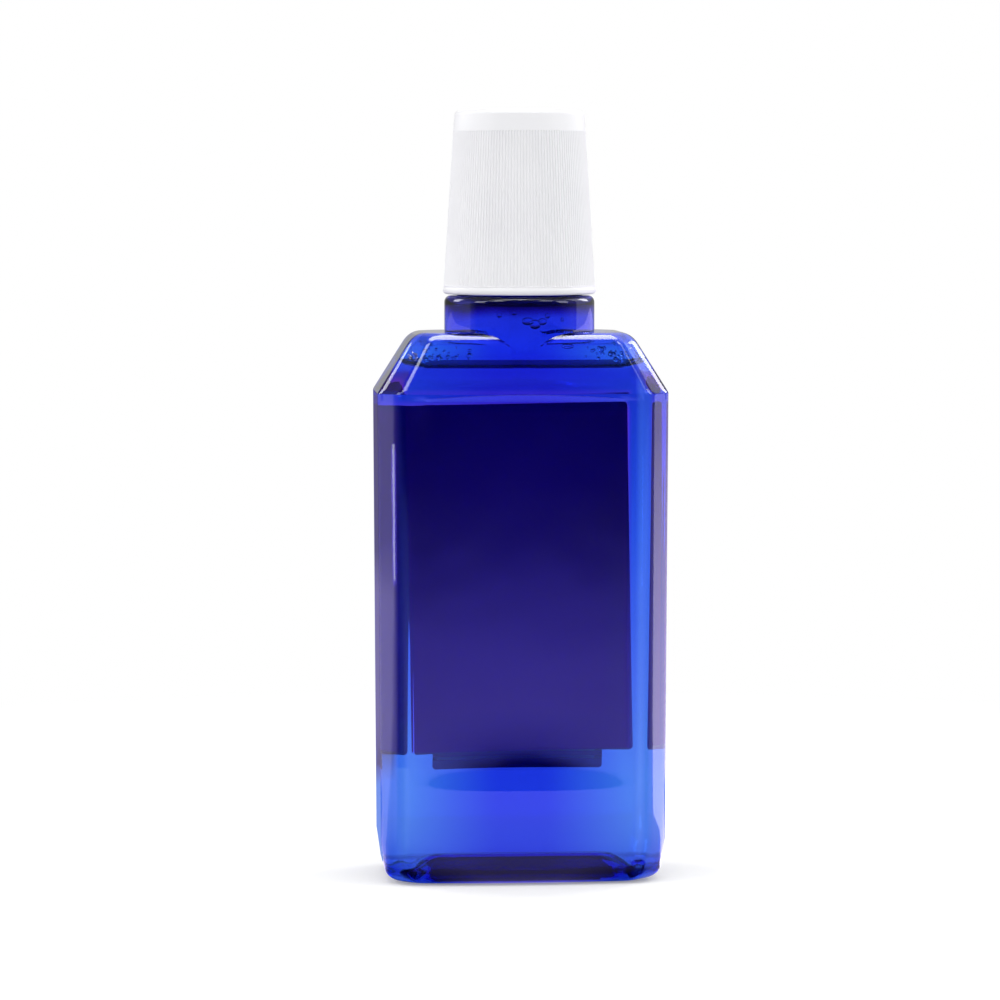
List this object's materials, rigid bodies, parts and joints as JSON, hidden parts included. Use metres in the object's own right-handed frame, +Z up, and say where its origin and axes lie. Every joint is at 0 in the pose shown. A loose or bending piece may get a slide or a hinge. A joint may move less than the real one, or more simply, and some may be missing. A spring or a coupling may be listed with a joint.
{
  "type": "mouthwash bottle",
  "caption": "Filled clear blue chamfered rectangular bottle with a screw neck, a tall ribbed white dosing-cup cap and a label on one flat panel.",
  "frame": {"origin": "middle of the base, on the plane that the bottle stands on", "axes": "+Z up along the bottle and the cap's axis, +X across the width, +Y towards the labelled face, so the bare label panel faces -Y"},
  "size_m": [0.066, 0.039, 0.175],
  "materials": {
    "blue_pet": "clear cobalt-blue blown PET, glossy",
    "liquid": "clear, faintly blue liquid",
    "label": "opaque coated label, satin",
    "sticker": "opaque coated sticker, satin",
    "liner_foam": "fine white polyethylene foam",
    "white_pp": "moulded white polypropylene, satin"
  },
  "bodies": {
    "bottle": {"bottle": "blue_pet", "mouthwash": "liquid", "main_label": "label", "lower_sticker": "sticker"},
    "liner": {"cap_liner": "liner_foam"},
    "cap": {"cap": "white_pp"}
  },
  "joints": [
    {"name": "cap_rise", "type": "slide", "parent": "bottle", "child": "liner", "axis": [0, 0, 1], "range_m": [0, 0.021]},
    {"name": "cap_turn", "type": "hinge", "parent": "liner", "child": "cap", "pos_m": [0, 0, 0.1533], "axis": [0, 0, 1], "range_deg": [0, 1800]}
  ],
  "couplings": [
    {"joint": "cap_rise", "follows": "cap_turn", "m_per_rad": 0.00066845}
  ]
}
